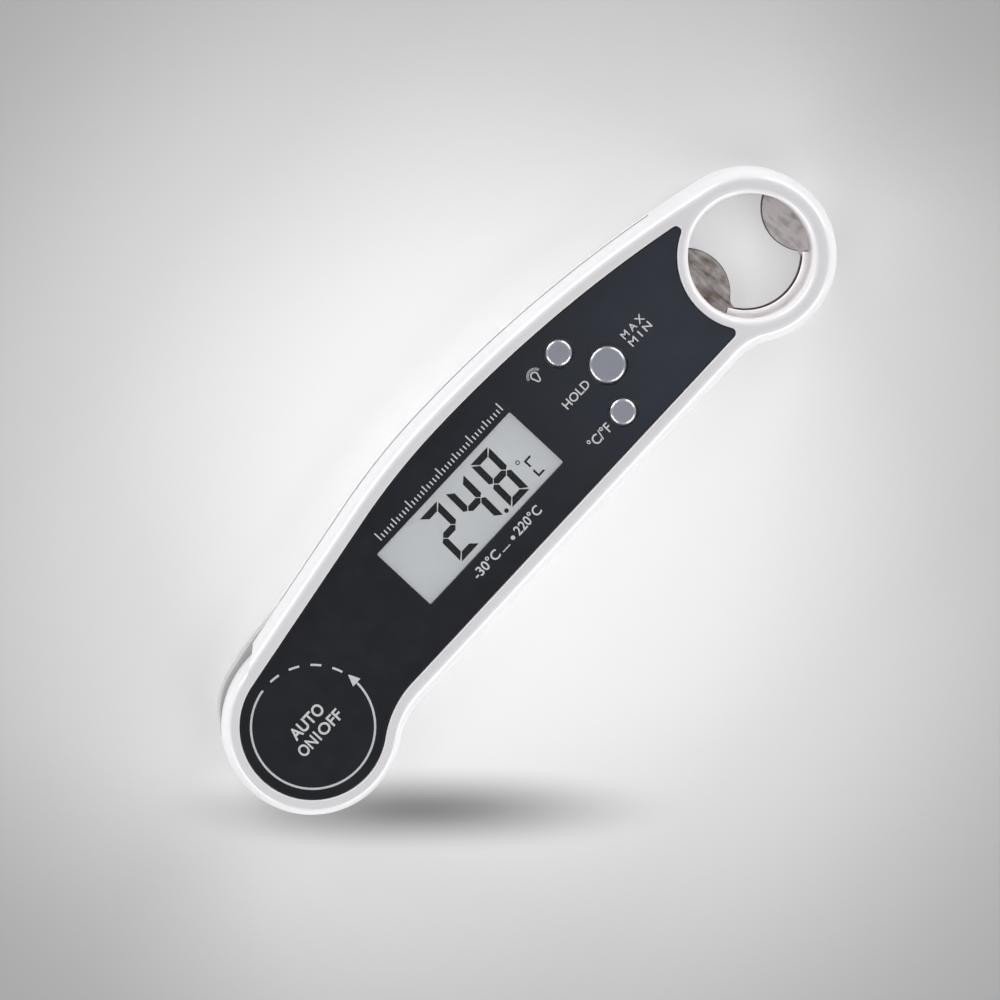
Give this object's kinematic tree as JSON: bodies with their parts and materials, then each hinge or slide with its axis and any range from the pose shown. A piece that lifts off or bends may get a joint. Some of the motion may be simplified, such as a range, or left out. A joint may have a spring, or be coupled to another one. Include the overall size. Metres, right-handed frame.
{
  "type": "folding meat thermometer",
  "caption": "Folding digital meat thermometer: arched case with display and buttons, side-stowed steel probe turning on a hub, and a bottle-opener ring.",
  "frame": {"origin": "bottom centre of the bounding box, with the thermometer lying on its flat back", "axes": "+X from the pivot hub towards the opener ring, +Y towards the crowned edge where the probe is stowed, +Z out of the display face"},
  "size_m": [0.16, 0.0436, 0.018],
  "materials": {
    "shell_white": "satin-gloss moulded ABS",
    "panel_black": "smooth dark overlay with pale print",
    "window_clear": "clear, polished",
    "lcd_grey": "pale grey liquid crystal cell with dark segments",
    "holder_white": "moulded",
    "light_guide": "frosted acrylic",
    "led_ivory": "cast epoxy",
    "strip_rubber": "layered conductive silicone",
    "board_green": "solder mask over fibreglass",
    "chip_black": "moulded epoxy",
    "reed_glass": "clear tube",
    "button_grey": "satin grey cap",
    "plunger_ivory": "moulded",
    "opener_steel": "worn stainless steel with polished wall",
    "arm_white": "satin moulded ABS",
    "probe_steel": "drawn stainless tube, polished",
    "bead_brown": "epoxy bead",
    "wire_red": "silicone insulation",
    "magnet_nickel": "nickel plated",
    "bush_brass": "turned",
    "seal_black": "nitrile",
    "screw_steel": "zinc plated",
    "washer_nylon": "nylon",
    "cell_steel": "nickel plated can",
    "holder_dark": "moulded",
    "contact_gold": "phosphor bronze spring",
    "gasket_grey": "silicone"
  },
  "bodies": {
    "case": {"front_shell": "shell_white", "rear_shell": "shell_white", "face_panel": "panel_black", "display_window": "window_clear", "lcd_glass": "lcd_grey", "lcd_holder": "holder_white", "backlight_panel": "light_guide", "backlight_led": "led_ivory", "zebra_strips": "strip_rubber", "main_board": "board_green", "board_parts": "chip_black", "reed_switch": "reed_glass", "switch_bases": "chip_black", "opener_plate": "opener_steel", "pivot_screw": "screw_steel", "spring_washer": "screw_steel", "pivot_washers": "washer_nylon", "body_lead": "wire_red", "coin_cell": "cell_steel", "battery_holder": "holder_dark", "positive_contact": "contact_gold", "negative_contact": "contact_gold", "case_gasket": "gasket_grey", "back_magnets": "magnet_nickel", "case_screws": "screw_steel"},
    "probe": {"probe_arm": "arm_white", "probe_rod": "probe_steel", "sensor_bead": "bead_brown", "probe_lead": "wire_red", "switch_magnet": "magnet_nickel", "pivot_bush": "bush_brass", "hub_seals": "seal_black"},
    "light_key": {"light_button": "button_grey", "light_plunger": "plunger_ivory"},
    "hold_key": {"hold_button": "button_grey", "hold_plunger": "plunger_ivory"},
    "unit_key": {"unit_button": "button_grey", "unit_plunger": "plunger_ivory"},
    "door": {"battery_door": "shell_white", "door_seal": "seal_black"}
  },
  "joints": [
    {"name": "probe_fold", "type": "hinge", "parent": "case", "child": "probe", "pos_m": [-0.0624, -0.00425, 0.009], "axis": [0, 0, 1], "range_deg": [0, 180]},
    {"name": "light_press", "type": "slide", "parent": "case", "child": "light_key", "axis": [0, 0, -1], "range_m": [0, 0.0004], "stiffness_N_per_m": 2500, "springref_m": -0.0002},
    {"name": "hold_press", "type": "slide", "parent": "case", "child": "hold_key", "axis": [0, 0, -1], "range_m": [0, 0.0004], "stiffness_N_per_m": 2500, "springref_m": -0.0002},
    {"name": "unit_press", "type": "slide", "parent": "case", "child": "unit_key", "axis": [0, 0, -1], "range_m": [0, 0.0004], "stiffness_N_per_m": 2500, "springref_m": -0.0002},
    {"name": "door_turn", "type": "hinge", "parent": "case", "child": "door", "pos_m": [0.0016, -0.00185, 0.001], "axis": [0, 0, -1], "range_deg": [0, 60]}
  ]
}
